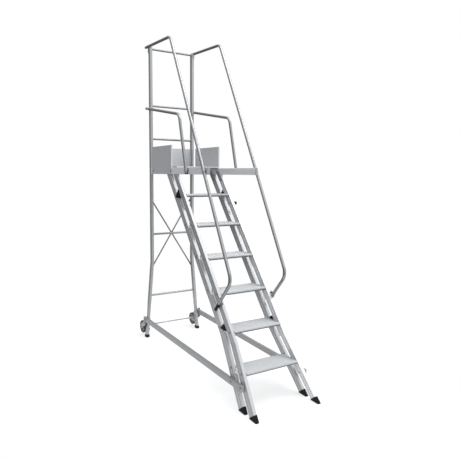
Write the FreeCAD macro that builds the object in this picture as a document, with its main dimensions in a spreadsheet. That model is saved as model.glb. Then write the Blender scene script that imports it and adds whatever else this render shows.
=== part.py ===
import FreeCAD, Part
import math
import os
import re

import Sketcher

# Rolling platform ladder in aluminium.  X is sideways, the flight climbs from the floor at -Y up to a
# platform that stands on a vertical rear frame at Y = 0, and Z is up.  The floor is Z = 0.  Millimetres.

doc = FreeCAD.newDocument("platform_ladder")
sheet = doc.addObject("Spreadsheet::Sheet", "Sizes")

DIMENSIONS = [
    # the flight
    ("rise", 240),                # from one tread to the next
    ("rail_run", 0.815),          # how far a rail goes back for each millimetre that it rises
    ("front_toe", 1938),          # front edge of the front rails at the floor, in front of the rear frame
    ("rail_pitch", 135.3),        # level distance from front rail to rear rail
    ("rail_level", 76.3),         # level depth of a rail, cut along the floor
    ("splay_start", 426),         # height below which the rails lean outward
    ("rail_splay", 49.8),         # how far outward they have gone at the floor
    ("tread_depth", 177),
    ("tread_thick", 22),
    ("tread_setback", 4),         # nosing behind the front edge of the rails
    ("front_bolt", 30),           # tread bolts behind the front edge of the front rail
    ("rear_bolt", 166),
    # tube sections
    ("frame_half", 220),          # centre of uprights, beams and rails from the middle plane
    ("tube_wide", 25),
    ("tube_wall", 2),
    ("tube_round", 2.5),
    ("upright_deep", 40),
    # rear frame
    ("upright_top", 2813),
    ("leg_bend", 765),
    ("leg_splay", 62),
    ("rung_dia", 20),
    ("guard_top", 2803),
    ("guard_mid", 2277),
    ("guard_low", 1965),
    ("brace_height", 1037),
    ("brace_reach", 350),         # ends of the cross braces above and below their rung
    ("lower_rung", 422),
    ("tie_height", 123),
    ("tie_dia", 14),
    # platform
    ("beam_under", 1629),
    ("beam_tall", 58),
    ("beam_front", 1160),
    ("deck_front", 560),
    ("toe_top", 1885),
    ("toe_start", 50),
    ("toe_front", 520),
    ("sheet_thick", 2),
    # guard tubes
    ("guard_dia", 25),
    # base bars
    ("bar_tall", 45),
    ("bar_rear_half", 294.5),
    ("bar_front_half", 278),
    ("bar_rear_top", 205),
    ("bar_front_top", 192),
    ("bar_front", 1762),
    # wheels
    ("wheel_dia", 125),
    ("wheel_wide", 34),
    ("wheel_half", 281.5),
    ("wheel_back", 97.5),
    ("wheel_height", 80),
    ("axle_dia", 12),
    ("bush_dia", 20),
    ("hub_dia", 92),
    ("foot_tall", 26),
]

for row, (alias, value) in enumerate(DIMENSIONS, start=1):
    sheet.set(f"A{row}", alias)
    sheet.set(f"B{row}", str(value))
    sheet.setAlias(f"B{row}", alias)
doc.recompute()

NAMES = sorted((alias for alias, _ in DIMENSIONS), key=len, reverse=True)
NAME_PATTERN = re.compile(r"\b(" + "|".join(NAMES) + r")\b")
SIDES = (("left", -1), ("right", 1))
TREADS = range(1, 7)
AXIS_X = FreeCAD.Vector(1, 0, 0)
AXIS_Y = FreeCAD.Vector(0, 1, 0)
AXIS_Z = FreeCAD.Vector(0, 0, 1)
TO_YZ = FreeCAD.Rotation(FreeCAD.Vector(1, 1, 1), 120)      # sketch x, y, normal -> Y, Z, X
TO_XZ = FreeCAD.Rotation(FreeCAD.Vector(1, 0, 0), 90)       # sketch x, y, normal -> X, Z, -Y
parts = []


def size(alias):
    return float(sheet.get(alias))


def bind(target, **formulas):
    """Bind properties to formulas in the sheet's names; two underscores stand for a dot."""
    for name, formula in formulas.items():
        text = NAME_PATTERN.sub(r"Sizes.\1", str(formula))
        target.setExpression(name.replace("__", "."), text)


def place(target, x="0", y="0", z="0"):
    bind(target, Placement__Base__x=x, Placement__Base__y=y, Placement__Base__z=z)


def keep(target, label):
    """Mark an object as a finished sub-part."""
    target.Label = label
    parts.append(target)
    return target


# ---------------------------------------------------------------- places that several sub-parts share

def rail_edge(height):
    """Y of the front rails' front edge."""
    return -(size("front_toe") - size("rail_run") * height)


def rear_rail_edge(height):
    """Y of the rear rails' front edge."""
    return rail_edge(height) + size("rail_pitch")


def rail_half(height):
    """Centre of a rail from the middle plane."""
    drop = max(0.0, size("splay_start") - height)
    return size("frame_half") + size("rail_splay") * drop / size("splay_start")


def leg_half(height):
    """Centre of an upright from the middle plane."""
    drop = max(0.0, size("leg_bend") - height)
    return size("frame_half") + size("leg_splay") * drop / size("leg_bend")


def tread_under(step):
    return step * size("rise") - 3


outer_half = size("frame_half") + size("tube_wide") / 2
inner_half = size("frame_half") - size("tube_wide") / 2
guard_half = outer_half + size("guard_dia") / 2


# ---------------------------------------------------------------- ways of making a piece

def add_loop(sketch, points):
    """Closed outline of straight lines.  A point given as (x, y, radius) is rounded."""
    count = len(points)
    ends = []
    for index, point in enumerate(points):
        corner = FreeCAD.Vector(point[0], point[1], 0)
        radius = point[2] if len(point) > 2 else 0
        if not radius:
            ends.append((corner, corner, None))
            continue
        before = FreeCAD.Vector(*points[index - 1][:2], 0)
        after = FreeCAD.Vector(*points[(index + 1) % count][:2], 0)
        ends.append(round_corner(before, corner, after, radius))
    for index, (start, end, middle) in enumerate(ends):
        if middle is not None:
            sketch.addGeometry(Part.Arc(start, middle, end), False)
        sketch.addGeometry(Part.LineSegment(end, ends[(index + 1) % count][0]), False)


def round_corner(before, corner, after, radius):
    """Tangent points and the middle of the arc that rounds a corner."""
    back = (before - corner).normalize()
    ahead = (after - corner).normalize()
    half_angle = back.getAngle(ahead) / 2
    reach = radius / math.tan(half_angle)
    to_centre = (back + ahead).normalize()
    middle = corner + to_centre * (radius / math.sin(half_angle) - radius)
    return corner + back * reach, corner + ahead * reach, middle


def add_circle(sketch, x, y, radius):
    circle = Part.Circle(FreeCAD.Vector(x, y, 0), AXIS_Z, radius)
    return sketch.addGeometry(circle, False)


def box_loop(wide, tall, radius=0, x=0.0, y=0.0):
    """Rounded rectangle about a centre."""
    half_wide = wide / 2
    half_tall = tall / 2
    signs = ((-1, -1), (1, -1), (1, 1), (-1, 1))
    return [(x + half_wide * a, y + half_tall * b, radius) for a, b in signs]


def loose_sketch(name, loops, circles=(), rotation=FreeCAD.Rotation()):
    sketch = doc.addObject("Sketcher::SketchObject", name)
    for loop in loops:
        add_loop(sketch, loop)
    for x, y, radius in circles:
        add_circle(sketch, x, y, radius)
    sketch.Placement = FreeCAD.Placement(FreeCAD.Vector(), rotation)
    return sketch


def extrusion(name, sketch, direction, length):
    """Solid pushed out of a sketch along any direction by a formula's length."""
    solid = doc.addObject("Part::Extrusion", name)
    solid.Base = sketch
    solid.DirMode = "Custom"
    solid.Dir = direction
    solid.Solid = True
    bind(solid, LengthFwd=length)
    return solid


def side_profile(name, loops, length, start, circles=()):
    """A side view in Y and Z, pushed along X from the formula start."""
    sketch = loose_sketch(name + "_outline", loops, circles, TO_YZ)
    bind(sketch, Placement__Base__x=start)
    return extrusion(name, sketch, AXIS_X, length)


def rod(name, radius, length, x="0", y="0", z="0", turn=TO_YZ):
    """Cylinder along X, or along another direction."""
    solid = doc.addObject("Part::Cylinder", name)
    solid.Placement = FreeCAD.Placement(FreeCAD.Vector(), turn)
    bind(solid, Radius=radius, Height=length)
    place(solid, x, y, z)
    return solid


def cut(name, base, tool):
    result = doc.addObject("Part::Cut", name)
    result.Base = base
    result.Tool = tool
    return result


def join(name, pieces):
    result = doc.addObject("Part::MultiFuse", name)
    result.Shapes = pieces
    result.Refine = True
    return result


def fixed_shape(name, shape):
    """A shape made from the sheet's numbers, where no feature fits."""
    feature = doc.addObject("Part::Feature", name)
    feature.Shape = shape
    return feature


def revolved_body(name, points, centre, axis_turn):
    """A ring or a turned piece: half section (radius, along) turned about its axis."""
    body = doc.addObject("PartDesign::Body", name)
    sketch = body.newObject("Sketcher::SketchObject", name + "_section")
    plane = [f for f in body.Origin.OriginFeatures if f.Role == "XY_Plane"][0]
    sketch.AttachmentSupport = [(plane, "")]
    sketch.MapMode = "FlatFace"
    add_loop(sketch, points)
    turned = body.newObject("PartDesign::Revolution", name + "_turned")
    turned.Profile = sketch
    turned.ReferenceAxis = (sketch, ["V_Axis"])
    turned.Angle = 360
    body.Placement = FreeCAD.Placement(FreeCAD.Vector(*centre), axis_turn)
    return body


def bent_tube(name, points, radii, dia, wall, x):
    """Round tube along straight runs and tangent arcs in the side plane at X = x."""
    body = doc.addObject("PartDesign::Body", name)
    planes = {f.Role: f for f in body.Origin.OriginFeatures}
    path = body.newObject("Sketcher::SketchObject", name + "_path")
    path.AttachmentSupport = [(planes["YZ_Plane"], "")]
    path.MapMode = "FlatFace"
    corners = [FreeCAD.Vector(y, z, 0) for y, z in points]
    start = corners[0]
    for index, radius in enumerate(radii, start=1):
        first, last, middle = round_corner(corners[index - 1], corners[index], corners[index + 1], radius)
        path.addGeometry(Part.LineSegment(start, first), False)
        path.addGeometry(Part.Arc(first, middle, last), False)
        start = last
    path.addGeometry(Part.LineSegment(start, corners[-1]), False)
    doc.recompute()
    section = body.newObject("Sketcher::SketchObject", name + "_section")
    section.AttachmentSupport = [(path, "Edge1")]
    section.MapMode = "NormalToEdge"
    outer = add_circle(section, 0, 0, size(dia) / 2)
    inner = add_circle(section, 0, 0, size(dia) / 2 - wall)
    for circle, formula in ((outer, dia), (inner, f"{dia} - {2 * wall}")):
        section.addConstraint(Sketcher.Constraint("Coincident", circle, 3, -1, 1))
        index = section.addConstraint(Sketcher.Constraint("Diameter", circle, size(dia)))
        section.renameConstraint(index, f"dia_{circle}")
        section.setExpression(f"Constraints.dia_{circle}", NAME_PATTERN.sub(r"Sizes.\1", formula))
    pipe = body.newObject("PartDesign::AdditivePipe", name + "_pipe")
    pipe.Profile = section
    pipe.Spine = (path, [f"Edge{number + 1}" for number in range(2 * len(radii) + 1)])
    body.Placement = FreeCAD.Placement(FreeCAD.Vector(x, 0, 0), FreeCAD.Rotation())
    return body


# ---------------------------------------------------------------- sloping box sections

RAIL_FLOOR = 6              # the rails and the legs end inside their rubber feet
LEG_FLOOR = 8
SCREW_HOLE = 2.8
BOLT_HOLE = 4.3
rail_up = FreeCAD.Vector(0, size("rail_run"), 1)


def rail_down(side_sign):
    return FreeCAD.Vector(side_sign * size("rail_splay") / size("splay_start"), -size("rail_run"), -1)


def leg_down(side_sign):
    return FreeCAD.Vector(side_sign * size("leg_splay") / size("leg_bend"), 0, -1)


def prism(name, loops, x, y, z, direction, height):
    """A level section pushed along a slope until it has risen or fallen by the formula height."""
    section = loose_sketch(name + "_section", loops)
    place(section, x, y, z)
    return extrusion(name, section, direction, f"({height}) * {direction.Length / abs(direction.z)}")


def sloped_block(wide, deep, x, y, z, travel):
    """Plain level rectangle about x, y at height z, pushed along a vector."""
    face = Part.makePlane(wide, deep, FreeCAD.Vector(x - wide / 2, y - deep / 2, z))
    return face.extrude(travel)


def rounded_block(wide, deep, x, y, z, travel, radius):
    block = sloped_block(wide, deep, x, y, z, travel)
    along = [e for e in block.Edges if abs(e.tangentAt(e.FirstParameter).dot(travel)) > 0.9 * travel.Length]
    return block.makeFillet(radius, along)


def bolt(length, dia=8.0, across=13.0, head=5.5, washer=8.5):
    """Hexagon bolt along X: head outward from X = 0, shank inward."""
    corners = [FreeCAD.Vector(0, across / math.sqrt(3) * math.cos(math.radians(a)),
                              across / math.sqrt(3) * math.sin(math.radians(a))) for a in range(0, 361, 60)]
    hexagon = Part.Face(Part.makePolygon(corners)).extrude(FreeCAD.Vector(head + 1.4, 0, 0))
    crown = Part.makeCone(washer, washer - 4, 9, FreeCAD.Vector(head - 2.2, 0, 0), AXIS_X)
    hexagon = hexagon.common(crown.fuse(Part.makeCylinder(washer, head, FreeCAD.Vector(), AXIS_X)))
    disc = Part.makeCylinder(washer, 1.4, FreeCAD.Vector(), AXIS_X)
    shank = Part.makeCylinder(dia / 2, length, FreeCAD.Vector(-length, 0, 0), AXIS_X)
    return hexagon.fuse([disc, shank]).removeSplitter()


def rivet(spacer):
    """Blind rivet along Y through a cross brace and an upright's rear wall at Y = 0."""
    pieces = [Part.makeCylinder(2.6, spacer + 6, FreeCAD.Vector(0, -4, 0), AXIS_Y),
              Part.makeCylinder(3.8, 2, FreeCAD.Vector(0, -4, 0), AXIS_Y)]
    if spacer:
        pieces.append(Part.makeCylinder(5, spacer, FreeCAD.Vector(), AXIS_Y))
    head = Part.makeCylinder(5, 2, FreeCAD.Vector(0, spacer + 3, 0), AXIS_Y)
    return head.makeChamfer(1, [head.Edges[0]]).fuse(pieces).removeSplitter()


def facing(side_sign, x, y, z):
    """Placement of a fastener made for the right side, on either side."""
    turn = FreeCAD.Rotation(AXIS_Z, 0 if side_sign > 0 else 180)
    return FreeCAD.Placement(FreeCAD.Vector(side_sign * x, y, z), turn)


def at(shape, placement):
    result = shape.copy()
    result.Placement = placement.multiply(result.Placement)
    return result


def holes(side_sign, centres, radius, inner, outer):
    """Drills along X between two distances from the middle plane, on one side."""
    start = inner if side_sign > 0 else -outer
    length = outer - inner
    return [Part.makeCylinder(radius, length, FreeCAD.Vector(start, y, z), AXIS_X) for y, z in centres]


# ---------------------------------------------------------------- guard tubes: routes and fixings

# Corners of the tubes' centre lines as (Y, Z), from the rear end.
handrail_points = [(48, 2823), (-510, 2796), (-1549, 872), (-1377, 672)]
handrail_radii = [75, 95]
knee_points = [(48, 2256), (-687, 2130), (-822, 1638)]
knee_radii = [70]


def run_direction(points, first):
    (y0, z0), (y1, z1) = points[first], points[first + 1]
    return FreeCAD.Vector(0, y1 - y0, z1 - z0).normalize()


def on_run(points, first, height=None, y=None):
    """Point of a straight run at a height or at a Y."""
    (y0, z0), (y1, z1) = points[first], points[first + 1]
    share = (height - z0) / (z1 - z0) if y is None else (y - y0) / (y1 - y0)
    return y0 + (y1 - y0) * share, z0 + (z1 - z0) * share


beam_middle = size("beam_under") + size("beam_tall") / 2
saddle_spots = [
    (on_run(handrail_points, 1, height=beam_middle), run_direction(handrail_points, 1), "beam"),
    (on_run(knee_points, 1, height=beam_middle + 3), run_direction(knee_points, 1), "beam"),
    (on_run(handrail_points, 2, height=690), run_direction(handrail_points, 2), "rail"),
]
SADDLE_SCREW = 21


def saddle_screws(member):
    """Centres of the screws that hold the saddles to the beams or to the rails."""
    centres = []
    for (y, z), run, where in saddle_spots:
        if where == member:
            centres += [(y + s * SADDLE_SCREW * run.z, z - s * SADDLE_SCREW * run.y) for s in (-1, 1)]
    return centres


knee_on_upright = on_run(knee_points, 0, y=0)
tab_on_upright = (0, 2784)
bar_on_leg = (0, 182)
plate_on_leg = (4, 148)
cheek_on_leg = (0, 80)
rail_middle = size("rail_level") / 2
bar_on_front_rail = (rail_edge(171) + rail_middle + 14, 171)
bar_on_rear_rail = (rear_rail_edge(172) + rail_middle, 172)
hanger_on_front_rail = (rail_edge(1597) + rail_middle, 1597)
hanger_on_rear_rail = (rear_rail_edge(1597) + rail_middle, 1597)
hanger_on_beam = [(edge(1645) + rail_middle, 1645) for edge in (rail_edge, rear_rail_edge)]
toe_board_on_beam = [(-491, 1661), (-90, 1661)]
knob_spot = (-778, 1379)
brace_ends = [size("brace_height") + s * size("brace_reach") for s in (-1, 1)]


def tread_bolts(alias):
    """Centres of the bolts that hold the treads to one pair of rails."""
    centres = []
    for step in TREADS:
        height = step * size("rise") + 8
        centres.append((rail_edge(height) + size(alias), height))
    return centres


front_bolts = tread_bolts("front_bolt")
rear_bolts = tread_bolts("rear_bolt")


# ---------------------------------------------------------------- rear frame

upright_outer = box_loop(size("tube_wide"), size("upright_deep"), size("tube_round"))
double_wall = 2 * size("tube_wall")
upright_inner = box_loop(size("tube_wide") - double_wall, size("upright_deep") - double_wall, 1)

for side, sign in SIDES:
    loops = [upright_outer, upright_inner]
    x = f"{sign} * frame_half"
    upper = prism(f"upright_upper_{side}", loops, x, "0", "leg_bend", AXIS_Z, "upright_top - leg_bend")
    lower = prism(f"upright_lower_{side}", loops, x, "0", "leg_bend", leg_down(sign),
                  f"leg_bend - {LEG_FLOOR}")
    tube = join(f"upright_tube_{side}", [upper, lower])
    drills = holes(sign, [knee_on_upright, tab_on_upright], BOLT_HOLE, size("frame_half"), 300)
    drills += holes(sign, [bar_on_leg, plate_on_leg, cheek_on_leg], BOLT_HOLE, size("frame_half"), 400)
    for z in brace_ends:
        start = FreeCAD.Vector(sign * size("frame_half"), 10, z)
        drills.append(Part.makeCylinder(SCREW_HOLE, 15, start, AXIS_Y))
    keep(cut(f"upright_{side}", tube, fixed_shape(f"upright_drills_{side}", Part.makeCompound(drills))),
         f"rear_upright_{side}")

feet = []
for side, sign in SIDES:
    height = size("foot_tall")
    boot = rounded_block(33, 48, sign * leg_half(height), 0, height, leg_down(sign) * height, 4)
    socket = sloped_block(size("tube_wide"), size("upright_deep"), sign * leg_half(height), 0, height,
                          leg_down(sign) * (height - LEG_FLOOR))
    feet.append(boot.cut(socket))
keep(fixed_shape("rear_feet", Part.makeCompound(feet)), "rear_feet")

for label, height in (("guard_rung_top", "guard_top"), ("guard_rung_middle", "guard_mid"),
                      ("guard_rung_low", "guard_low"), ("brace_rung", "brace_height")):
    reach = "frame_half - tube_wide / 2"
    outer = rod(label + "_outer", "rung_dia / 2", f"2 * ({reach})", f"-({reach})", "0", height)
    inner = rod(label + "_inner", "rung_dia / 2 - 1.5", f"2 * ({reach})", f"-({reach})", "0", height)
    keep(cut(label + "_tube", outer, inner), label)

leg_solids = []
for side, sign in SIDES:
    block = sloped_block(size("tube_wide"), size("upright_deep"), sign * size("frame_half"), 0,
                         size("leg_bend"), leg_down(sign) * (size("leg_bend") - LEG_FLOOR))
    leg_solids.append(block)
leg_space = fixed_shape("leg_space", Part.makeCompound(leg_solids))
for label, height, dia in (("lower_rung", "lower_rung", "rung_dia"), ("tie_rod", "tie_height", "tie_dia")):
    reach = f"frame_half + leg_splay * (leg_bend - {height}) / leg_bend"
    outer = rod(label + "_outer", f"{dia} / 2", f"2 * ({reach})", f"-({reach})", "0", height)
    inner = rod(label + "_inner", f"{dia} / 2 - 1.5", f"2 * ({reach})", f"-({reach})", "0", height)
    keep(cut(label + "_fitted", cut(label + "_tube", outer, inner), leg_space), label)

brace_run = FreeCAD.Vector(2 * size("frame_half"), 0, 2 * size("brace_reach"))
for label, slope, y in (("cross_brace_a", -1, 20), ("cross_brace_b", 1, 23)):
    long_side = brace_run.Length + 12
    bar = Part.makeBox(long_side, 3, 14, FreeCAD.Vector(-long_side / 2, 0, -7))
    for x in (-brace_run.Length / 2, brace_run.Length / 2):
        bar = bar.cut(Part.makeCylinder(SCREW_HOLE, 10, FreeCAD.Vector(x, -3, 0), AXIS_Y))
    tilt = math.degrees(math.atan2(brace_run.z, brace_run.x))
    middle = FreeCAD.Vector(0, y, size("brace_height"))
    bar.Placement = FreeCAD.Placement(middle, FreeCAD.Rotation(AXIS_Y, -slope * tilt))
    keep(fixed_shape(label, bar), label)


# ---------------------------------------------------------------- platform

def front_view(name, loops, x, y, z, direction, length):
    """A section in X and Z pushed along a direction from Y = y."""
    sketch = loose_sketch(name + "_section", loops, (), TO_XZ)
    place(sketch, x, y, z)
    return extrusion(name, sketch, direction, length)


def hollow(wide, tall):
    wall = size("tube_wall")
    return [box_loop(wide, tall, size("tube_round")), box_loop(wide - 2 * wall, tall - 2 * wall, 1)]


for side, sign in SIDES:
    tube = front_view(f"beam_tube_{side}", hollow(size("tube_wide"), size("beam_tall")),
                      f"{sign} * frame_half", "-upright_deep / 2", "beam_under + beam_tall / 2",
                      FreeCAD.Vector(0, -1, 0), "beam_front - upright_deep / 2")
    drills = holes(sign, saddle_screws("beam"), SCREW_HOLE, size("frame_half"), 300)
    drills += holes(sign, toe_board_on_beam, BOLT_HOLE, size("frame_half"), 300)
    drills += holes(sign, hanger_on_beam, BOLT_HOLE, 150, size("frame_half"))
    keep(cut(f"beam_{side}", tube, fixed_shape(f"beam_drills_{side}", Part.makeCompound(drills))),
         f"platform_beam_{side}")


def ribbed_panel(name, start, end, under, length, x, bolts):
    """Open-bottomed board with a ribbed top, a lip along its front and solid bosses round its bolts."""
    top = under + size("tread_thick")
    plate = top - 1 - 2.5
    outline = [(start + 6, under, 1), (start + 6, under + 9), (start, under + 10), (start, top, 4)]
    y = start + 9
    while y < end - 10:
        outline += [(y, top), (y + 0.8, top - 1), (y + 4.2, top - 1), (y + 5, top)]
        y += 8
    outline += [(end, top, 3), (end, under, 1)]
    bosses = sorted(bolts, reverse=True)
    inside = [(end - 3, under), (end - 3, plate)]
    for centre, height in bosses:
        low = height - 7.5
        rear = min(centre + 7.5, end - 3)
        if rear == end - 3:
            inside[-1] = (end - 3, low)
            inside += [(centre - 7.5, low), (centre - 7.5, plate)]
        else:
            inside += [(rear, plate), (rear, low), (centre - 7.5, low), (centre - 7.5, plate)]
    inside += [(start + 9, plate), (start + 9, under)]
    bores = [(centre, height, BOLT_HOLE) for centre, height in bosses]
    return side_profile(name, [outline + inside], length, x, bores)


deck_under = 7 * size("rise") - 3
keep(ribbed_panel("deck_panel", -size("deck_front"), 16, deck_under, "2 * (frame_half - tube_wide / 2)",
                  "tube_wide / 2 - frame_half", []), "deck")

crossbars = []
for y in (-300, -90):
    bar = Part.makeBox(2 * inner_half, 30, 22, FreeCAD.Vector(-inner_half, y - 15, deck_under - 22))
    space = Part.makeBox(2 * inner_half, 26, 18, FreeCAD.Vector(-inner_half, y - 13, deck_under - 20))
    crossbars.append(bar.cut(space))
keep(fixed_shape("deck_crossbars", Part.makeCompound(crossbars)), "deck_crossbars")

for side, sign in SIDES:
    thick = size("sheet_thick")
    near = sign * outer_half
    far = sign * (outer_half + thick)
    lip = sign * (outer_half + 12)
    front = -size("toe_front")
    rear = -size("toe_start")
    plan = [(near, front), (near, rear), (far, rear), (far, front + thick),
            (lip, front + thick), (lip, front)]
    section = loose_sketch(f"toe_section_{side}", [plan])
    place(section, z="beam_under")
    board = extrusion(f"toe_sheet_{side}", section, AXIS_Z, "toe_top - beam_under")
    drills = holes(sign, toe_board_on_beam, BOLT_HOLE, outer_half - 5, outer_half + 5)
    keep(cut(f"toe_board_{side}", board, fixed_shape(f"toe_drills_{side}", Part.makeCompound(drills))),
         f"toe_board_{side}")

rear_plan = [(-inner_half, 14), (-inner_half, -1), (inner_half, -1), (inner_half, 14), (inner_half - 2, 14),
             (inner_half - 2, 1), (2 - inner_half, 1), (2 - inner_half, 14)]
section = loose_sketch("toe_section_rear", [rear_plan])
place(section, z="rise * 7 + 19")
keep(extrusion("toe_sheet_rear", section, AXIS_Z, "toe_top - 3 - rise * 7 - 19"), "toe_board_rear")

straps = []
for edge in (rail_edge, rear_rail_edge):
    high, low = (edge(z) + rail_middle for z in (1662, 1572))
    straps.append([(high + 26, 1662, 6), (high - 26, 1662, 6), (low - 26, 1572, 6), (low + 26, 1572, 6)])
for side, sign in SIDES:
    start = "frame_half - tube_wide / 2 - 3" if sign > 0 else "tube_wide / 2 - frame_half"
    centres = hanger_on_beam + [hanger_on_front_rail, hanger_on_rear_rail]
    keep(side_profile(f"hanger_{side}", straps, "3", start, [(y, z, BOLT_HOLE) for y, z in centres]),
         f"rail_hanger_{side}")


# ---------------------------------------------------------------- flight

level_wall = size("tube_wall") * math.hypot(1, size("rail_run"))
rail_outer = box_loop(size("tube_wide"), size("rail_level"), size("tube_round"))
rail_inner = box_loop(size("tube_wide") - 2 * size("tube_wall"), size("rail_level") - 2 * level_wall, 1)
STUD_HOLE = 5.05

for which, pitch in (("front", "0"), ("rear", "rail_pitch")):
    for side, sign in SIDES:
        loops = [rail_outer, rail_inner]
        x = f"{sign} * frame_half"
        y = f"rail_run * splay_start - front_toe + rail_level / 2 + {pitch}"
        upper = prism(f"{which}_rail_upper_{side}", loops, x, y, "splay_start", rail_up,
                      "beam_under - splay_start")
        lower = prism(f"{which}_rail_lower_{side}", loops, x, y, "splay_start", rail_down(sign),
                      f"splay_start - {RAIL_FLOOR}")
        tube = join(f"{which}_rail_tube_{side}", [upper, lower])
        if which == "front":
            drills = holes(sign, front_bolts + [bar_on_front_rail], BOLT_HOLE, 150, 350)
            drills += holes(sign, saddle_screws("rail"), SCREW_HOLE, size("frame_half"), 300)
            drills += holes(sign, [hanger_on_front_rail], BOLT_HOLE, 150, size("frame_half"))
            if sign > 0:
                drills += holes(sign, [knob_spot], STUD_HOLE, 150, 300)
        else:
            drills = holes(sign, rear_bolts + [bar_on_rear_rail], BOLT_HOLE, 150, 350)
            drills += holes(sign, [hanger_on_rear_rail], BOLT_HOLE, 150, size("frame_half"))
        drill = fixed_shape(f"{which}_rail_drills_{side}", Part.makeCompound(drills))
        keep(cut(f"{which}_rail_cut_{side}", tube, drill), f"{which}_rail_{side}")

CAP_SKIN = 2
CAP_TOP = 75
slope_turn = FreeCAD.Rotation(AXIS_X, -math.degrees(math.atan(size("rail_run"))))
for which, edge in (("front", rail_edge), ("rear", rear_rail_edge)):
    caps = []
    for side, sign in SIDES:
        x = sign * rail_half(CAP_TOP)
        y = edge(CAP_TOP) + rail_middle
        block = rounded_block(size("tube_wide") + 2 * CAP_SKIN, size("rail_level") + 2 * CAP_SKIN, x, y,
                              CAP_TOP, rail_down(sign) * CAP_TOP, 3)
        socket = sloped_block(size("tube_wide"), size("rail_level"), x, y, CAP_TOP,
                              rail_down(sign) * (CAP_TOP - RAIL_FLOOR))
        heel = FreeCAD.Vector(-500, edge(5) + size("rail_level"), 5)
        above = Part.makeBox(1000, 300, 200, FreeCAD.Vector(0, -150, 0))
        above.Placement = FreeCAD.Placement(heel, slope_turn)
        caps.append(block.cut(socket).cut(above))
    keep(fixed_shape(f"rail_feet_{which}", Part.makeCompound(caps)), f"rail_feet_{which}")

for step in TREADS:
    under = tread_under(step)
    start = rail_edge(step * size("rise")) + size("tread_setback")
    half = rail_half(under + size("tread_thick")) - size("tube_wide") / 2
    bolts = [front_bolts[step - 1], rear_bolts[step - 1]]
    board = ribbed_panel(f"tread_board_{step}", start, start + size("tread_depth"), under,
                         str(2 * half), str(-half), bolts)
    keep(board, f"tread_{step}")

for side, sign in SIDES:
    brackets = []
    for step in TREADS:
        under = tread_under(step)
        rear_face = [rail_edge(z) + size("rail_level") for z in (under - 84, under)]
        spread = rail_half(under - 6) - size("frame_half")
        arm = [(rear_face[1], under), (rear_face[0], under - 84), (rear_face[0] + 14, under - 84),
               (rear_face[1] + 8, under - 7), (rear_face[1] + 46, under - 7), (rear_face[1] + 46, under)]
        wire = Part.makePolygon([FreeCAD.Vector(0, y, z) for y, z in arm + arm[:1]])
        inner = inner_half + spread + 2
        bracket = Part.Face(wire).extrude(FreeCAD.Vector(21, 0, 0))
        bracket.translate(FreeCAD.Vector(inner if sign > 0 else -inner - 21, 0, 0))
        pad_corner = FreeCAD.Vector(inner - 30 if sign > 0 else -inner - 2, rear_face[1] + 8, under - 7)
        pad = Part.makeBox(32, 38, 7, pad_corner)
        brackets.append(bracket.fuse(pad).removeSplitter())
    keep(fixed_shape(f"tread_brackets_{side}", Part.makeCompound(brackets)), f"tread_brackets_{side}")

for side, sign in SIDES:
    wedges = []
    for foot, seat, apex, tail in ((1428, tread_under(6) + 1, 1498, 44), (484, 484, 530, 22)):
        front = {z: (rail_edge(z) + size("rail_level"), z) for z in (foot, seat, apex)}
        gap_fill = [front[seat], (rear_rail_edge(seat), seat),
                    (rear_rail_edge(seat + 20), seat + 20), front[apex]]
        cheek = [front[foot], (rear_rail_edge(foot) + tail, foot), front[apex]]
        solids = []
        in_gap = (gap_fill, inner_half + 1, size("tube_wide") - 1)
        for outline, inner, wide in (in_gap, (cheek, outer_half, 5)):
            wire = Part.makePolygon([FreeCAD.Vector(0, y, z) for y, z in outline + outline[:1]])
            solid = Part.Face(wire).extrude(FreeCAD.Vector(wide, 0, 0))
            solid.translate(FreeCAD.Vector(inner if sign > 0 else -inner - wide, 0, 0))
            solids.append(solid)
        wedges.append(solids[0].fuse(solids[1]).removeSplitter())
    keep(fixed_shape(f"wedge_stops_{side}", Part.makeCompound(wedges)), f"wedge_stops_{side}")


# ---------------------------------------------------------------- guard tubes

for side, sign in SIDES:
    tube = bent_tube(f"handrail_pipe_{side}", handrail_points, handrail_radii, "guard_dia", 1.8,
                     sign * guard_half)
    keep(tube, f"handrail_{side}")
    tube = bent_tube(f"knee_pipe_{side}", knee_points, knee_radii, "guard_dia", 1.8, sign * guard_half)
    drills = holes(sign, [knee_on_upright], BOLT_HOLE, outer_half - 5, 300)
    keep(cut(f"knee_drilled_{side}", tube, fixed_shape(f"knee_drills_{side}", Part.makeCompound(drills))),
         f"knee_rail_{side}")


def tube_cap(length):
    """Rubber or plastic end cap along -Z from a tube's end, with a spigot inside the tube."""
    head = Part.makeCylinder(size("guard_dia") / 2, length, FreeCAD.Vector(0, 0, -length), AXIS_Z)
    far = [e for e in head.Edges if e.Closed and abs(e.CenterOfMass.z + length) < 0.01]
    head = head.makeFillet(min(3.5, length * 0.6), far)
    spigot = Part.makeCylinder(size("guard_dia") / 2 - 2.2, 25, FreeCAD.Vector(), AXIS_Z)
    return head.fuse(spigot).removeSplitter()


cap_spots = []
for points, first_cap, last_cap in ((handrail_points, 3, 82), (knee_points, 3, 5)):
    cap_spots.append((points[0], run_direction(points, 0), first_cap))
    cap_spots.append((points[-1], run_direction(points, len(points) - 2) * -1, last_cap))
caps = []
for side, sign in SIDES:
    for (y, z), inward, length in cap_spots:
        end = FreeCAD.Vector(sign * guard_half, y, z)
        placement = FreeCAD.Placement(end, FreeCAD.Rotation(AXIS_Z, inward))
        caps.append(at(tube_cap(length), placement))
keep(fixed_shape("guard_tube_caps", Part.makeCompound(caps)), "guard_tube_caps")


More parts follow.
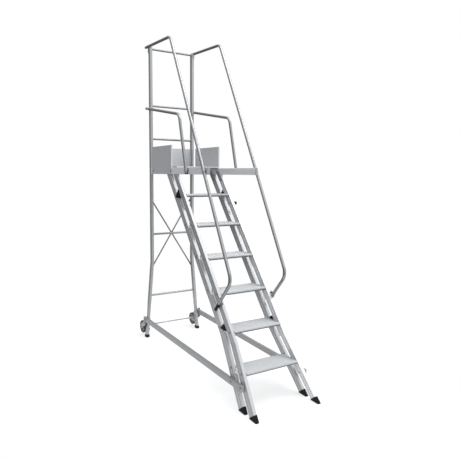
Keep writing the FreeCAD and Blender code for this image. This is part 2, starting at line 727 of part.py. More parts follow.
def saddle():
    """Strap over a tube along Z at the origin, screwed to a flat face that the tube lies on."""
    radius = size("guard_dia") / 2
    tall = 24
    outside = Part.makeCylinder(radius + 2.5, tall, FreeCAD.Vector(0, 0, -tall / 2), AXIS_Z)
    outside = outside.fuse(Part.makeBox(radius, 2 * radius + 5, tall,
                                        FreeCAD.Vector(-radius, -radius - 2.5, -tall / 2)))
    outside = outside.fuse(Part.makeBox(3, 58, tall, FreeCAD.Vector(-radius, -29, -tall / 2)))
    inside = Part.makeCylinder(radius, tall, FreeCAD.Vector(0, 0, -tall / 2), AXIS_Z)
    inside = inside.fuse(Part.makeBox(radius, 2 * radius, tall, FreeCAD.Vector(-radius, -radius, -tall / 2)))
    behind = Part.makeBox(10, 100, tall, FreeCAD.Vector(-radius - 10, -50, -tall / 2))
    strap = outside.cut(inside).cut(behind)
    for y in (-SADDLE_SCREW, SADDLE_SCREW):
        strap = strap.cut(Part.makeCylinder(SCREW_HOLE, 30, FreeCAD.Vector(-20, y, 0), AXIS_X))
    return strap.removeSplitter()


saddles = []
for side, sign in SIDES:
    for (y, z), run, member in saddle_spots:
        turn = FreeCAD.Rotation(AXIS_Z, run * -1)
        if sign < 0:
            turn = FreeCAD.Rotation(run, 180).multiply(turn)
        saddles.append(at(saddle(), FreeCAD.Placement(FreeCAD.Vector(sign * guard_half, y, z), turn)))
keep(fixed_shape("guard_saddles", Part.makeCompound(saddles)), "guard_saddles")

tabs = []
for side, sign in SIDES:
    near = outer_half if sign > 0 else -outer_half - 5
    tab = Part.makeBox(5, 34, 55, FreeCAD.Vector(near, -17, 2765))
    for drill in holes(sign, [tab_on_upright], BOLT_HOLE, 200, 300):
        tab = tab.cut(drill)
    y, z = handrail_points[0]
    tube_space = Part.makeCylinder(size("guard_dia") / 2, 200, FreeCAD.Vector(sign * guard_half, y, z),
                                   run_direction(handrail_points, 0))
    top_waste = Part.makeBox(20, 60, 20, FreeCAD.Vector(near - 5, -30, 2815))
    tabs.append(tab.cut(tube_space).cut(top_waste))
keep(fixed_shape("handrail_tabs", Part.makeCompound(tabs)), "handrail_tabs")


# ---------------------------------------------------------------- base bars and wheels

bar_run = {}
for side, sign in SIDES:
    run = FreeCAD.Vector(sign * (size("bar_front_half") - size("bar_rear_half")), -size("bar_front") - 20,
                         size("bar_front_top") - size("bar_rear_top"))
    bar_run[side] = run
    tube = front_view(f"bar_tube_{side}", hollow(size("tube_wide"), size("bar_tall")),
                      f"{sign} * bar_rear_half", "20", "bar_rear_top - bar_tall / 2", run, str(run.Length))
    drills = holes(sign, [bar_on_leg, bar_on_front_rail, bar_on_rear_rail], BOLT_HOLE, 200, 400)
    drill = fixed_shape(f"bar_drills_{side}", Part.makeCompound(drills))
    keep(cut(f"bar_{side}", tube, drill), f"base_bar_{side}")

PLATE_THICK = 3
plate_inner = size("bar_rear_half") + size("tube_wide") / 2
cheek_outer = 261.9
plate_outline = [(-20, 216, 3), (20, 216, 3), (26, 150), (114, 98, 8), (114, 64, 8), (90, 62, 8),
                 (-20, 130, 3)]
cheek_outline = [(-20, 92), (-20, 70), (112, 70, 8), (112, 92, 8)]
axle_spot = (size("wheel_back"), size("wheel_height"))
for side, sign in SIDES:
    plates = []
    for outline, inner, bores in (
        (plate_outline, plate_inner, [(bar_on_leg, BOLT_HOLE), (plate_on_leg, BOLT_HOLE), (axle_spot, 6.3)]),
        (cheek_outline, cheek_outer - PLATE_THICK, [(cheek_on_leg, BOLT_HOLE), (axle_spot, 6.3)]),
    ):
        sketch_points = [FreeCAD.Vector(0, p[0], p[1]) for p in outline]
        plate = Part.Face(Part.makePolygon(sketch_points + sketch_points[:1])).extrude(
            FreeCAD.Vector(PLATE_THICK, 0, 0))
        plate.translate(FreeCAD.Vector(inner if sign > 0 else -inner - PLATE_THICK, 0, 0))
        for centre, radius in bores:
            plate = plate.cut(holes(sign, [centre], radius, 200, 400)[0])
        plates.append(plate)
    keep(fixed_shape(f"wheel_bracket_{side}", Part.makeCompound(plates)), f"wheel_bracket_{side}")

half_wheel = 18.0
axles = []
for side, sign in SIDES:
    y, z = axle_spot
    centre = size("wheel_half")
    pieces = []
    for radius, inner, outer in (
        (size("axle_dia") / 2, cheek_outer - 16, plate_inner + 14),
        (9, cheek_outer, centre - half_wheel - 0.5),
        (9, centre + half_wheel + 0.5, plate_inner),
        (9.5, plate_inner + PLATE_THICK, plate_inner + PLATE_THICK + 7),
        (9.5, cheek_outer - PLATE_THICK - 9, cheek_outer - PLATE_THICK),
    ):
        pieces.append(holes(sign, [axle_spot], radius, inner, outer)[0])
    axles.append(pieces[0].fuse(pieces[1:]).removeSplitter())
keep(fixed_shape("wheel_axles", Part.makeCompound(axles)), "wheel_axles")

rim = size("hub_dia") / 2
bush = size("bush_dia") / 2
tread_edge = size("wheel_dia") / 2
tyre_half = size("wheel_wide") / 2
bore = size("axle_dia") / 2 + 0.06
Y_TO_X = FreeCAD.Rotation(AXIS_Z, -90)
for side, sign in SIDES:
    centre = (sign * size("wheel_half"), size("wheel_back"), size("wheel_height"))
    keep(revolved_body(f"tyre_ring_{side}", [(rim, -14), (rim + 5, -tyre_half), (tread_edge, -tyre_half, 6),
                                             (tread_edge, tyre_half, 6), (rim + 5, tyre_half), (rim, 14)],
                       centre, Y_TO_X), f"wheel_tyre_{side}")
    keep(revolved_body(f"hub_ring_{side}", [(bush, -17), (15, -17), (17, -5), (36, -5), (39, -14),
                                            (rim, -14), (rim, 14), (39, 14), (36, 5), (17, 5), (15, 17),
                                            (bush, 17)],
                       centre, Y_TO_X), f"wheel_hub_{side}")
    keep(revolved_body(f"bush_ring_{side}", [(bore, -half_wheel), (bush, -half_wheel), (bush, half_wheel),
                                             (bore, half_wheel)], centre, Y_TO_X), f"wheel_bush_{side}")


# ---------------------------------------------------------------- lock knob

knob_y, knob_z = knob_spot
stud = Part.makeCylinder(5, 62, FreeCAD.Vector(198, knob_y, knob_z), AXIS_X)
collar = Part.makeCylinder(9, 12, FreeCAD.Vector(outer_half + 0.5, knob_y, knob_z), AXIS_X)
keep(fixed_shape("lock_knob_stud", stud.fuse(collar).removeSplitter()), "lock_knob_stud")
grip = Part.makeCylinder(14, 26, FreeCAD.Vector(outer_half + 12.5, knob_y, knob_z), AXIS_X)
grip = grip.makeFillet(4, [e for e in grip.Edges if e.Closed])
for turn in range(0, 360, 45):
    y = knob_y + 16.5 * math.cos(math.radians(turn))
    z = knob_z + 16.5 * math.sin(math.radians(turn))
    grip = grip.cut(Part.makeCylinder(4, 60, FreeCAD.Vector(outer_half, y, z), AXIS_X))
grip = grip.cut(Part.makeCylinder(5, 62, FreeCAD.Vector(198, knob_y, knob_z), AXIS_X))
keep(fixed_shape("lock_knob_grip", grip), "lock_knob_grip")


# ---------------------------------------------------------------- plugs and fasteners

def plug(wide, deep, wall):
    """Plastic plug for a box tube's end, head outward along Z."""
    head = Part.makeBox(wide, deep, 4, FreeCAD.Vector(-wide / 2, -deep / 2, 0))
    head = head.makeFillet(1.5, head.Edges)
    inside_wide = wide - 2 * wall - 0.4
    inside_deep = deep - 2 * wall - 0.4
    corner = FreeCAD.Vector(-inside_wide / 2, -inside_deep / 2, -10)
    stem = Part.makeBox(inside_wide, inside_deep, 12, corner)
    return head.fuse(stem).removeSplitter()


wall = size("tube_wall") + 0.5
top_plugs = []
bar_plugs = []
for side, sign in SIDES:
    top = FreeCAD.Vector(sign * size("frame_half"), 0, size("upright_top"))
    top_plugs.append(at(plug(size("tube_wide"), size("upright_deep"), wall),
                        FreeCAD.Placement(top, FreeCAD.Rotation())))
    beam_end = FreeCAD.Vector(sign * size("frame_half"), -size("beam_front"), beam_middle)
    bar_plugs.append(at(plug(size("tube_wide"), size("beam_tall"), wall),
                        FreeCAD.Placement(beam_end, FreeCAD.Rotation(AXIS_X, 90))))
    bar_start = FreeCAD.Vector(sign * size("bar_rear_half"), 20, size("bar_rear_top") - size("bar_tall") / 2)
    for centre, outward in ((bar_start, AXIS_Y), (bar_start + bar_run[side], AXIS_Y * -1)):
        turn = FreeCAD.Rotation(AXIS_Z, outward)
        bar_plugs.append(at(plug(size("tube_wide"), size("bar_tall"), wall + 0.6),
                            FreeCAD.Placement(centre, turn)))
keep(fixed_shape("tube_plugs", Part.makeCompound(top_plugs)), "tube_plugs")
keep(fixed_shape("bar_plugs", Part.makeCompound(bar_plugs)), "bar_plugs")

heads = []
for side, sign in SIDES:
    for y, z in front_bolts + rear_bolts:
        x = rail_half(z) + size("tube_wide") / 2
        if z < size("splay_start"):
            x += 1.1
        heads.append(at(bolt(55), facing(sign, x, y, z)))
keep(fixed_shape("tread_bolts", Part.makeCompound(heads)), "tread_bolts")

fasteners = []
for side, sign in SIDES:
    for (y, z), x, grip_length in (
        (knee_on_upright, guard_half + size("guard_dia") / 2, 38),
        (tab_on_upright, outer_half + 5, 20),
        (toe_board_on_beam[0], outer_half + 2, 18),
        (toe_board_on_beam[1], outer_half + 2, 18),
    ):
        fasteners.append(at(bolt(grip_length), facing(sign, x, y, z)))
    for y, z in hanger_on_beam + [hanger_on_front_rail, hanger_on_rear_rail]:
        fasteners.append(at(bolt(16), facing(-sign, -inner_half + 3, y, z)))
    fasteners.append(at(bolt(70), facing(sign, plate_inner + PLATE_THICK, *bar_on_leg)))
    fasteners.append(at(bolt(70), facing(sign, plate_inner + PLATE_THICK, *plate_on_leg)))
    fasteners.append(at(bolt(30), facing(-sign, -cheek_outer + PLATE_THICK, *cheek_on_leg)))
    for y, z in (bar_on_front_rail, bar_on_rear_rail):
        share = (20 - y) / (size("bar_front") + 20)
        bar_centre = size("bar_rear_half") + share * (size("bar_front_half") - size("bar_rear_half"))
        fasteners.append(at(bolt(56), facing(sign, bar_centre + size("tube_wide") / 2 + 0.2, y, z)))
    for y, z in saddle_screws("beam") + saddle_screws("rail"):
        fasteners.append(at(bolt(12, 5.0, 8.0, 3.5, 5.0), facing(sign, outer_half + 3, y, z)))
for slope, spacer in ((-1, 0), (1, 3)):
    for end, z in zip((-slope, slope), brace_ends):
        fasteners.append(at(rivet(spacer), FreeCAD.Placement(FreeCAD.Vector(end * size("frame_half"), 20, z),
                                                             FreeCAD.Rotation())))
keep(fixed_shape("frame_bolts", Part.makeCompound(fasteners)), "frame_bolts")


# ---------------------------------------------------------------- check and export

doc.recompute()
faults = []
for item in doc.Objects:
    if {"Invalid", "Error"} & set(item.State):
        faults.append(f"{item.Name}: {item.State}")
for item in parts:
    if item.Shape.isNull() or not item.Shape.isValid() or not item.Shape.Solids:
        faults.append(f"{item.Label}: shape")
if faults:
    raise SystemExit("; ".join(faults))

# The ladder reaches from the tips of the front feet to the rear of the wheels; the export is centred on it.
front_most = CAP_SKIN - rail_edge(0)
rear_most = size("wheel_back") + size("wheel_dia") / 2
centring = FreeCAD.Vector(0, (front_most - rear_most) / 2, 0)
os.makedirs("parts", exist_ok=True)
for item in parts:
    shape = item.Shape.copy()
    shape.translate(centring)
    shape.exportStep(f"parts/{item.Label}.step")
print(len(parts), "sub-parts, shifted by", centring.y)
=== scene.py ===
import math

import bmesh
import bpy
from mathutils import Matrix, Vector


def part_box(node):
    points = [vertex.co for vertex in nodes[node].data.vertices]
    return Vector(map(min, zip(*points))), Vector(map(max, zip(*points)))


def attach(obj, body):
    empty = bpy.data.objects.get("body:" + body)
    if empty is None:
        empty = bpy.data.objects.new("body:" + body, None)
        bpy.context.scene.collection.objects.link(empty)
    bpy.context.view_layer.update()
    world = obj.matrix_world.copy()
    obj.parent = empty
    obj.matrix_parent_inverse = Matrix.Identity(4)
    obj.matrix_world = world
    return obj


# Looks of the rolling warehouse ladder: a finish for each CAD piece, weld beads at the rungs, and the studio.
# Metres. +X is the climber's right, +Y runs from the front feet to the wheels, +Z is up.

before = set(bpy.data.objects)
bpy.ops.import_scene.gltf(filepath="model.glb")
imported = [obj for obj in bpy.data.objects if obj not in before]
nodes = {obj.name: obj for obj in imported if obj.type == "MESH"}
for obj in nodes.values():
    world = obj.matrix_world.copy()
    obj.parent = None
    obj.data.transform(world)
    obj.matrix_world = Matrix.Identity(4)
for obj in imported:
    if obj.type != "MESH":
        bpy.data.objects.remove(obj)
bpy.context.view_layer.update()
scene = bpy.context.scene


def middle_of(node):
    """Centre of a CAD node's box."""
    low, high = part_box(node)
    return (low + high) / 2


climb = middle_of("tread_2") - middle_of("tread_1")
SLOPE = math.atan2(climb.y, climb.z)            # of the rails, from upright
REAR_Y = middle_of("rear_upright_left").y       # where the rear frame stands
RAIL_LEVEL = 0.0763                             # a rail's depth, measured level
RISE = 0.24                                     # from board to board
UNDER_STEP = 0.003                              # from a whole number of rises down to a board's underside


# ---------------------------------------------------------------- shader trees

class Tree:
    """Adds shader nodes to a material or world, and links them with few words."""

    def __init__(self, owner, output="OutputMaterial"):
        owner.use_nodes = True
        self.nodes = owner.node_tree.nodes
        self.links = owner.node_tree.links
        self.nodes.clear()
        self.output = self.add(output)

    def wire(self, socket, value):
        """Links another node's output to a socket, or sets the socket's own value."""
        if isinstance(value, bpy.types.NodeSocket):
            self.links.new(value, socket)
        else:
            socket.default_value = value

    def wire_all(self, node, values):
        for socket, value in zip(node.inputs, values):
            self.wire(socket, value)

    def add(self, kind, **inputs):
        node = self.nodes.new("ShaderNode" + kind)
        for name, value in inputs.items():
            self.wire(node.inputs[name.replace("_", " ")], value)
        return node

    def place(self):
        return self.add("TexCoord").outputs["Object"]

    def coords(self, scale=(1, 1, 1), turn=(0, 0, 0)):
        return self.add("Mapping", Vector=self.place(), Rotation=turn, Scale=scale).outputs["Vector"]

    def noise(self, vector, scale=1.0, detail=3.0, rough=0.5):
        node = self.add("TexNoise", Vector=vector, Scale=scale, Detail=detail, Roughness=rough)
        return node.outputs["Fac"]

    def spread(self, value, low, high, out_low=0.0, out_high=1.0, curve="LINEAR"):
        """Maps low..high to out_low..out_high and stops at the ends."""
        node = self.add("MapRange", Value=value, From_Min=low, From_Max=high, To_Min=out_low, To_Max=out_high)
        node.interpolation_type = curve
        return node.outputs["Result"]

    def math(self, operation, a, b=0.0):
        node = self.add("Math")
        node.operation = operation
        self.wire_all(node, (a, b))
        return node.outputs["Value"]

    def centred(self, value, gain):
        """Turns 0..1 into a swing of gain around zero."""
        return self.math("MULTIPLY", self.math("SUBTRACT", value, 0.5), gain)

    def dot(self, a, b):
        node = self.add("VectorMath")
        node.operation = "DOT_PRODUCT"
        self.wire_all(node, (a, b))
        return node.outputs["Value"]

    def blend(self, share, a, b):
        """Mixes two colours: a where share is 0, b where it is 1."""
        node = self.add("Mix")
        node.data_type = "RGBA"
        self.wire(node.inputs[0], share)
        for socket, color in ((node.inputs[6], a), (node.inputs[7], b)):
            self.wire(socket, color if isinstance(color, bpy.types.NodeSocket) else (*color, 1))
        return node.outputs[2]

    def rounded(self, radius):
        """The surface's normal, softened round its edges."""
        node = self.add("Bevel", Radius=radius)
        node.samples = 4
        return node.outputs["Normal"]

    def bump(self, height, distance, strength, base=None):
        node = self.add("Bump", Height=height, Distance=distance, Strength=strength)
        if base is not None:
            self.wire(node.inputs["Normal"], base)
        return node.outputs["Normal"]

    def finish(self, color, rough, normal=None, metallic=0.0, **more):
        shader = self.add("BsdfPrincipled", Base_Color=color, Roughness=rough, Metallic=metallic, **more)
        if normal is not None:
            self.wire(shader.inputs["Normal"], normal)
        self.wire(self.output.inputs["Surface"], shader.outputs["BSDF"])


def shade(color, factor):
    return tuple(min(1, part * factor) for part in color)


def grey(level):
    """Neutral aluminium grey, a little bluer than even."""
    return (level, level * 1.012, level * 1.03)


# ---------------------------------------------------------------- metal

ALONG_X = (6, 900, 900)             # die lines: coarse along one axis, fine across it
ALONG_Y = (900, 6, 900)
ALONG_Z = (900, 900, 6)
GRAIN_TUBE = (300, 300, 300)        # grain that runs no particular way
GRAIN_BOLT = (260, 260, 260)
GRAIN_PLATE = (140, 140, 140)
WORN_EDGE = (0.93, 0.93, 0.94)
GROOVE_OFFSET = 0.0135              # a rail's two grooves, either side of its middle line
GROOVE_HALF = 0.0016                # half the width of a groove's floor,
GROOVE_REACH = 0.0030               # and of its mouth
NOSING_SHADE_FULL = 0.036                   # painted shade under a nosing is full up to this share of a rise above its board's foot, and gone from this one
NOSING_SHADE_END = 0.044                    # and clean from this one


def rail_line(node):
    """Distance across the slope from the origin to a rail's middle line, found at the rail's level top."""
    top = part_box(node)[1]
    return (top.y - RAIL_LEVEL / 2) * math.cos(SLOPE) - top.z * math.sin(SLOPE)


def groove_mask(tree, middle):
    """1 in the two fine grooves along a rail's sides, whose floors get painted shade; middle is the rail's
    line across the slope.
    """
    split = tree.add("SeparateXYZ", Vector=tree.place())
    across = tree.math("SUBTRACT", tree.math("MULTIPLY", split.outputs["Y"], math.cos(SLOPE)),
                       tree.math("MULTIPLY", split.outputs["Z"], math.sin(SLOPE)))
    offset = tree.math("ABSOLUTE", tree.math("SUBTRACT", across, middle))
    distance = tree.math("ABSOLUTE", tree.math("SUBTRACT", offset, GROOVE_OFFSET))
    return tree.spread(distance, GROOVE_REACH, GROOVE_HALF)


def nosing_shade_mask(tree):
    """1 on the lowest few millimetres of each board, where painted shade darkens the groove under its lip."""
    height = tree.add("SeparateXYZ", Vector=tree.place()).outputs["Z"]
    rises = tree.math("MULTIPLY", tree.math("ADD", height, UNDER_STEP), 1 / RISE)
    return tree.spread(tree.math("FRACT", rises), NOSING_SHADE_END, NOSING_SHADE_FULL)


def brushed(name, level, rough, scale, turn=(0, 0, 0), metallic=0.55, streak=0.10, wear=0.35, relief=0.5,
            groove=None, nosing=False):
    """Aluminium or zinc with die lines or grain, a cloudy tone, scuffs and paler worn edges.

    scale and turn give the lines' direction, streak and relief how much they vary in tone and height, and
    wear how pale the edges get. groove is a rail's middle line, with painted shade in its two grooves, and
    nosing adds painted shade under the boards' lips.
    """
    material = bpy.data.materials.new(name)
    color = grey(level)
    tree = Tree(material)

    # Tone: fine and broad lines, clouds, and darker scuffs.
    fine = tree.noise(tree.coords(scale, turn), 1.0, 4.0, 0.6)
    broad = tree.noise(tree.coords(tuple(part * 0.22 for part in scale), turn), 1.0, 2.0)
    cloud = tree.noise(tree.coords(), 5.0, 4.0)
    scuff = tree.spread(tree.noise(tree.coords((38, 38, 38), (0.5, 0.4, 0.2)), 1.0, 6.0, 0.72), 0.60, 0.72)
    tone = tree.math("ADD", tree.centred(fine, streak), tree.centred(broad, streak))
    tone = tree.math("ADD", tone, tree.centred(cloud, 0.16))
    base = tree.blend(tree.math("ADD", tone, 0.5), shade(color, 0.72), shade(color, 1.24))
    base = tree.blend(tree.math("MULTIPLY", scuff, 0.25), base, shade(color, 0.6))

    # Edges: the more the rounded normal leans away from the flat one, the paler.
    rounded = tree.rounded(0.0012)
    flat = tree.add("NewGeometry").outputs["Normal"]
    edge = tree.spread(tree.dot(rounded, flat), 0.995, 0.86)
    patchy = tree.math("MULTIPLY", edge, tree.spread(cloud, 0.35, 0.6, 0.3, 1.0))
    base = tree.blend(tree.math("MULTIPLY", patchy, wear), base, WORN_EDGE)

    # Sheen: rougher on the lines and in the scuffs.
    roughness = tree.math("ADD", tree.spread(fine, 0.3, 0.7, rough - 0.05, rough + 0.06),
                          tree.math("MULTIPLY", scuff, 0.12))
    normal = tree.bump(fine, 0.00006, relief, rounded)

    if groove is not None:
        line = groove_mask(tree, groove)
        # painted shade: the groove floors darkened as shade in a recess, beside the bump that sinks them
        base = tree.blend(tree.math("MULTIPLY", line, 0.85), base, shade(color, 0.32))
        normal = tree.bump(tree.math("SUBTRACT", 1.0, line), 0.0008, 0.8, normal)
    if nosing:
        # painted shade: each board's lowest few millimetres darkened, as if shaded under its lip
        base = tree.blend(tree.math("MULTIPLY", nosing_shade_mask(tree), 0.9), base, shade(color, 0.22))
    tree.finish(base, roughness, normal, metallic)
    return material


def rail_finish(name, level, node):
    return brushed(name, level, 0.36, ALONG_Z, (SLOPE, 0, 0), metallic=0.25, groove=rail_line(node))


upright = brushed("anodised_upright", 0.37, 0.36, ALONG_Z)
beam = brushed("anodised_beam", 0.84, 0.38, ALONG_Y, metallic=0.35)
bar = brushed("anodised_base_bar", 0.29, 0.38, ALONG_Y)
sheet = brushed("rolled_sheet", 0.57, 0.42, ALONG_Y, metallic=0.35, streak=0.07)
rung = brushed("drawn_rung", 0.24, 0.34, ALONG_X, metallic=0.6, relief=0.15)
low_rung = brushed("drawn_rung_low", 0.30, 0.30, ALONG_X, metallic=0.6)
front_rail = rail_finish("anodised_front_rail", 0.39, "front_rail_left")
# painted light: the right front rail is a lighter copy of the front rail finish, standing in for light on its
# inner side
lit_copy_rail = rail_finish("front_rail_right_painted_lighter", 0.70, "front_rail_right")
rear_rail = rail_finish("anodised_rear_rail", 0.43, "rear_rail_left")
board = brushed("anodised_tread", 0.43, 0.50, ALONG_X, metallic=0.45, streak=0.06, relief=0.12, nosing=True)
tube = brushed("bright_tube", 0.29, 0.21, GRAIN_TUBE, metallic=0.85, streak=0.04, wear=0.1)
zinc = brushed("zinc_plate", 0.32, 0.42, GRAIN_PLATE, streak=0.22)
brace = brushed("brace_strip", 0.20, 0.40, GRAIN_PLATE, streak=0.16)
# painted light: a far lighter copy of the zinc plate finish for the tread brackets, standing in for light on
# arms that lie in shade
lit_zinc_copy = brushed("zinc_plate_painted_lighter", 0.88, 0.36, GRAIN_PLATE, metallic=0.1, streak=0.10)
bolt = brushed("zinc_bolt", 0.30, 0.30, GRAIN_BOLT, streak=0.18)


# ---------------------------------------------------------------- rubber and plastic

def moulded(name, color, rough, wear, grain=0.0002, shine=0.5):
    """Moulded rubber or plastic: fine grain, cloudy dust, and scuffs in the wear colour."""
    material = bpy.data.materials.new(name)
    tree = Tree(material)
    fine = tree.noise(tree.coords((420, 420, 420)), 1.0, 3.0)
    cloud = tree.noise(tree.coords((22, 22, 22)), 1.0, 5.0, 0.65)
    scuff = tree.spread(tree.noise(tree.coords((70, 70, 70), (0.3, 0.9, 0.1)), 1.0, 7.0, 0.75), 0.56, 0.70)
    base = tree.blend(tree.spread(cloud, 0.3, 0.7), shade(color, 0.75), shade(color, 1.35))
    base = tree.blend(tree.math("MULTIPLY", scuff, 0.35), base, wear)
    roughness = tree.spread(cloud, 0.3, 0.7, rough - 0.07, rough + 0.08)
    normal = tree.bump(fine, grain, 0.35, tree.rounded(0.0010))
    tree.finish(base, roughness, normal, Specular_IOR_Level=shine)
    return material


RUBBER_GRAIN = 0.0004
rubber = moulded("foot_rubber", (0.005, 0.005, 0.0055), 0.62, (0.02, 0.02, 0.021), RUBBER_GRAIN, 0.12)
tyre = moulded("wheel_tyre_rubber", (0.045, 0.045, 0.047), 0.66, (0.12, 0.12, 0.12), RUBBER_GRAIN, 0.3)
black_plastic = moulded("black_plastic", (0.008, 0.008, 0.009), 0.50, (0.03, 0.03, 0.031), shine=0.18)
grey_plastic = moulded("grey_plastic", (0.27, 0.275, 0.28), 0.50, (0.36, 0.36, 0.36))
hub = moulded("wheel_hub_moulding", (0.15, 0.155, 0.16), 0.48, (0.24, 0.24, 0.24))
nylon = moulded("bush_nylon", (0.66, 0.65, 0.60), 0.35, (0.5, 0.5, 0.46), grain=0.0001)


# ---------------------------------------------------------------- which finish each CAD piece gets

# The first row that a node's name starts with counts, so a longer name comes before a shorter one.
FINISHES = (
    ("rear_upright", upright), ("guard_rung", rung), ("brace_rung", rung), ("lower_rung", low_rung),
    ("tie_rod", low_rung), ("cross_brace", brace), ("rear_feet", rubber), ("tube_plugs", black_plastic),
    ("platform_beam", beam), ("toe_board", sheet), ("deck_crossbars", rung), ("deck", board),
    ("rail_hanger", zinc), ("front_rail_right", lit_copy_rail), ("front_rail", front_rail),
    ("rear_rail", rear_rail), ("rail_feet", rubber), ("wedge_stops", rubber), ("tread_bolts", bolt),
    ("tread_brackets", lit_zinc_copy), ("tread_", board), ("handrail_tabs", zinc), ("handrail", tube),
    ("knee_rail", tube), ("guard_tube_caps", black_plastic), ("guard_saddles", zinc), ("base_bar", bar),
    ("bar_plugs", grey_plastic), ("wheel_bracket", zinc), ("wheel_axles", bolt), ("wheel_tyre", tyre),
    ("wheel_hub", hub), ("wheel_bush", nylon), ("lock_knob_stud", bolt), ("lock_knob_grip", black_plastic),
    ("frame_bolts", bolt),
)


def finish_for(node):
    for start, material in FINISHES:
        if node.startswith(start):
            return material
    raise ValueError(f"no finish for {node}")


for name, thing in nodes.items():
    thing.data.materials.clear()
    thing.data.materials.append(finish_for(name))


# ---------------------------------------------------------------- weld beads at the rungs

BEAD = 0.0034           # how far a bead stands out at its narrowest
SWELL = 0.22            # share that each ripple adds
RIPPLES = 26            # round one bead
STEPS = 4               # mesh steps to a ripple
FACETS = 6              # from the plate to the tube
SINK = 0.0002           # how far a bead's inner edge lies inside the rung


def weld_material():
    material = bpy.data.materials.new("weld_aluminium")
    tree = Tree(material)
    grain = tree.noise(tree.coords((900, 900, 900)), 1.0, 5.0, 0.7)
    heat = tree.noise(tree.coords((60, 60, 60)), 1.0, 3.0)
    base = tree.blend(tree.spread(heat, 0.35, 0.65), (0.26, 0.26, 0.27), (0.52, 0.52, 0.52))
    tree.finish(base, tree.spread(grain, 0.3, 0.7, 0.40, 0.62), tree.bump(grain, 0.0004, 0.5), 0.6)
    return material


def weld_bead(work, centre, radius, outward):
    """A ring of ripples round a rung's end, where it meets an upright; outward is +1 or -1 along X."""
    rings = []
    for step in range(RIPPLES * STEPS):
        angle = 2 * math.pi * step / (RIPPLES * STEPS)
        size = BEAD * (1 + SWELL * abs(math.sin(angle * RIPPLES / 2)))
        ring = []
        for k in range(FACETS + 1):
            bend = math.pi / 2 * k / FACETS
            reach = radius + size * math.cos(bend)
            ring.append(work.verts.new((centre.x + outward * size * math.sin(bend),
                                        centre.y + reach * math.cos(angle),
                                        centre.z + reach * math.sin(angle))))
        rings.append(ring)
    for ring, following in zip(rings, rings[1:] + rings[:1]):
        for k in range(FACETS):
            corners = (ring[k], following[k], following[k + 1], ring[k + 1])
            work.faces.new(corners if outward < 0 else corners[::-1])


def rung_welds():
    """One bead at each end of every straight rung of the rear frame."""
    work = bmesh.new()
    for node in ("guard_rung_top", "guard_rung_middle", "guard_rung_low", "brace_rung"):
        low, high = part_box(node)
        centre = middle_of(node)
        for x, outward in ((low.x, 1), (high.x, -1)):
            weld_bead(work, Vector((x, centre.y, centre.z)), (high.z - low.z) / 2 - SINK, outward)
    mesh = bpy.data.meshes.new("rung_welds")
    work.to_mesh(mesh)
    work.free()
    for face in mesh.polygons:
        face.use_smooth = True
    mesh.materials.append(weld_material())
    beads = bpy.data.objects.new("rung_welds", mesh)
    scene.collection.objects.link(beads)
    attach(beads, "ladder")


# ---------------------------------------------------------------- floor, light and camera

FLOOR_HALF_WIDE = 1.3
FLOOR_HALF_DEEP = 2.0
FLOOR_GAP = 0.0005      # below the feet, so that the two surfaces don't coincide

# Soft lights at a distance: (towards, cosine where one starts, cosine where it is full, brightness)
SKY = (
    ((0.10, -0.1, 1.0), 0.15, 0.95, 1.5),           # overhead
    ((0.75, 0.45, 0.25), 0.20, 1.00, 0.25),         # right, behind
    ((0.50, -0.85, 0.0), 0.20, 1.00, 0.85),         # right, in front
    ((-1.0, 0.15, 0.30), 0.10, 1.00, 0.20),         # left
    ((0.0, 0.0, -1.0), 0.00, 0.30, -0.10),          # less from below
)
SKY_BASE = 0.22


def pale_floor():
    work = bmesh.new()
    for x, y in ((-1, -1), (1, -1), (1, 1), (-1, 1)):
        work.verts.new((x * FLOOR_HALF_WIDE, y * FLOOR_HALF_DEEP, -FLOOR_GAP))
    work.faces.new(work.verts)
    mesh = bpy.data.meshes.new("floor")
    work.to_mesh(mesh)
    work.free()
    material = bpy.data.materials.new("floor_paper")
    Tree(material).finish((0.36, 0.36, 0.36, 1), 0.9, Emission_Color=(1, 1, 1, 1), Emission_Strength=0.60)
    mesh.materials.append(material)
    floor = bpy.data.objects.new("floor", mesh)
    scene.collection.objects.link(floor)


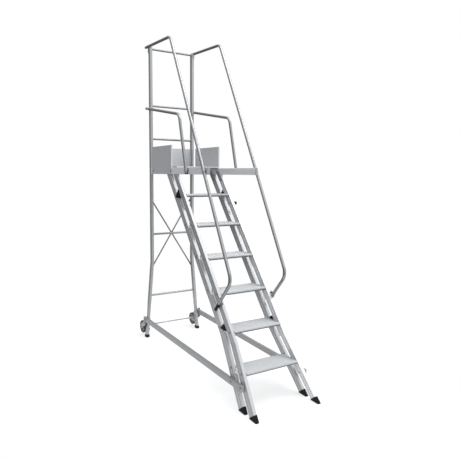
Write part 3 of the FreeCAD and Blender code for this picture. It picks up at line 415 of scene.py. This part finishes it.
def studio_sky():
    """White backdrop for the camera; for the ladder, a soft sky that is bright overhead and in front."""
    world = bpy.data.worlds.new("studio")
    scene.world = world
    tree = Tree(world, "OutputWorld")
    ray = tree.add("TexCoord").outputs["Generated"]
    glow = SKY_BASE
    for towards, start, full, brightness in SKY:
        aim = tree.dot(ray, Vector(towards).normalized())
        glow = tree.math("ADD", tree.spread(aim, start, full, 0.0, brightness, "SMOOTHSTEP"), glow)
    lit = tree.add("Background", Color=(0.96, 0.98, 1.0, 1), Strength=glow)
    seen = tree.add("Background", Color=(1, 1, 1, 1), Strength=1.0)
    mix = tree.add("MixShader")
    tree.wire_all(mix, (tree.add("LightPath").outputs["Is Camera Ray"], lit.outputs[0], seen.outputs[0]))
    tree.wire(tree.output.inputs["Surface"], mix.outputs[0])


def overhead_strip():
    """A long lamp high above the foot of the flight, to the climber's right, which the camera doesn't see."""
    light = bpy.data.lights.new("overhead_strip", "AREA")
    light.shape = "RECTANGLE"
    light.size = 1.2
    light.size_y = 5.0
    light.energy = 160
    lamp = bpy.data.objects.new("overhead_strip", light)
    lamp.location = (1.6, -1.2, 6.5)
    aim = Vector((0, -0.3, 1.2)) - lamp.location
    lamp.rotation_euler = aim.to_track_quat("-Z", "Y").to_euler()
    lamp.visible_camera = False
    scene.collection.objects.link(lamp)


def front_left_camera():
    """Stands in front of the flight and left of it, at about the height of the platform."""
    yaw = math.radians(31.2504)             # to the right of +Y
    pitch = math.radians(-6.5644)           # negative is down
    roll = math.radians(0.5577)
    place = Vector((-1.9676, REAR_Y - 4.3512, 1.6357))
    ahead = Vector((math.sin(yaw) * math.cos(pitch), math.cos(yaw) * math.cos(pitch), math.sin(pitch)))
    right = Vector((math.cos(yaw), -math.sin(yaw), 0))
    up = right.cross(ahead)
    image_right = right * math.cos(roll) + up * math.sin(roll)
    image_up = up * math.cos(roll) - right * math.sin(roll)
    turn = Matrix((image_right, image_up, -ahead)).transposed()
    camera = bpy.data.objects.new("camera", bpy.data.cameras.new("camera"))
    camera.data.sensor_width = 36
    camera.data.lens = 36.9
    camera.data.shift_x = 0.0017
    camera.data.shift_y = -0.0038
    camera.data.clip_end = 200
    camera.matrix_world = Matrix.Translation(place) @ turn.to_4x4()
    scene.collection.objects.link(camera)
    scene.camera = camera


rung_welds()
pale_floor()
studio_sky()
overhead_strip()
front_left_camera()
scene.view_settings.view_transform = "Standard"
scene.view_settings.look = "None"
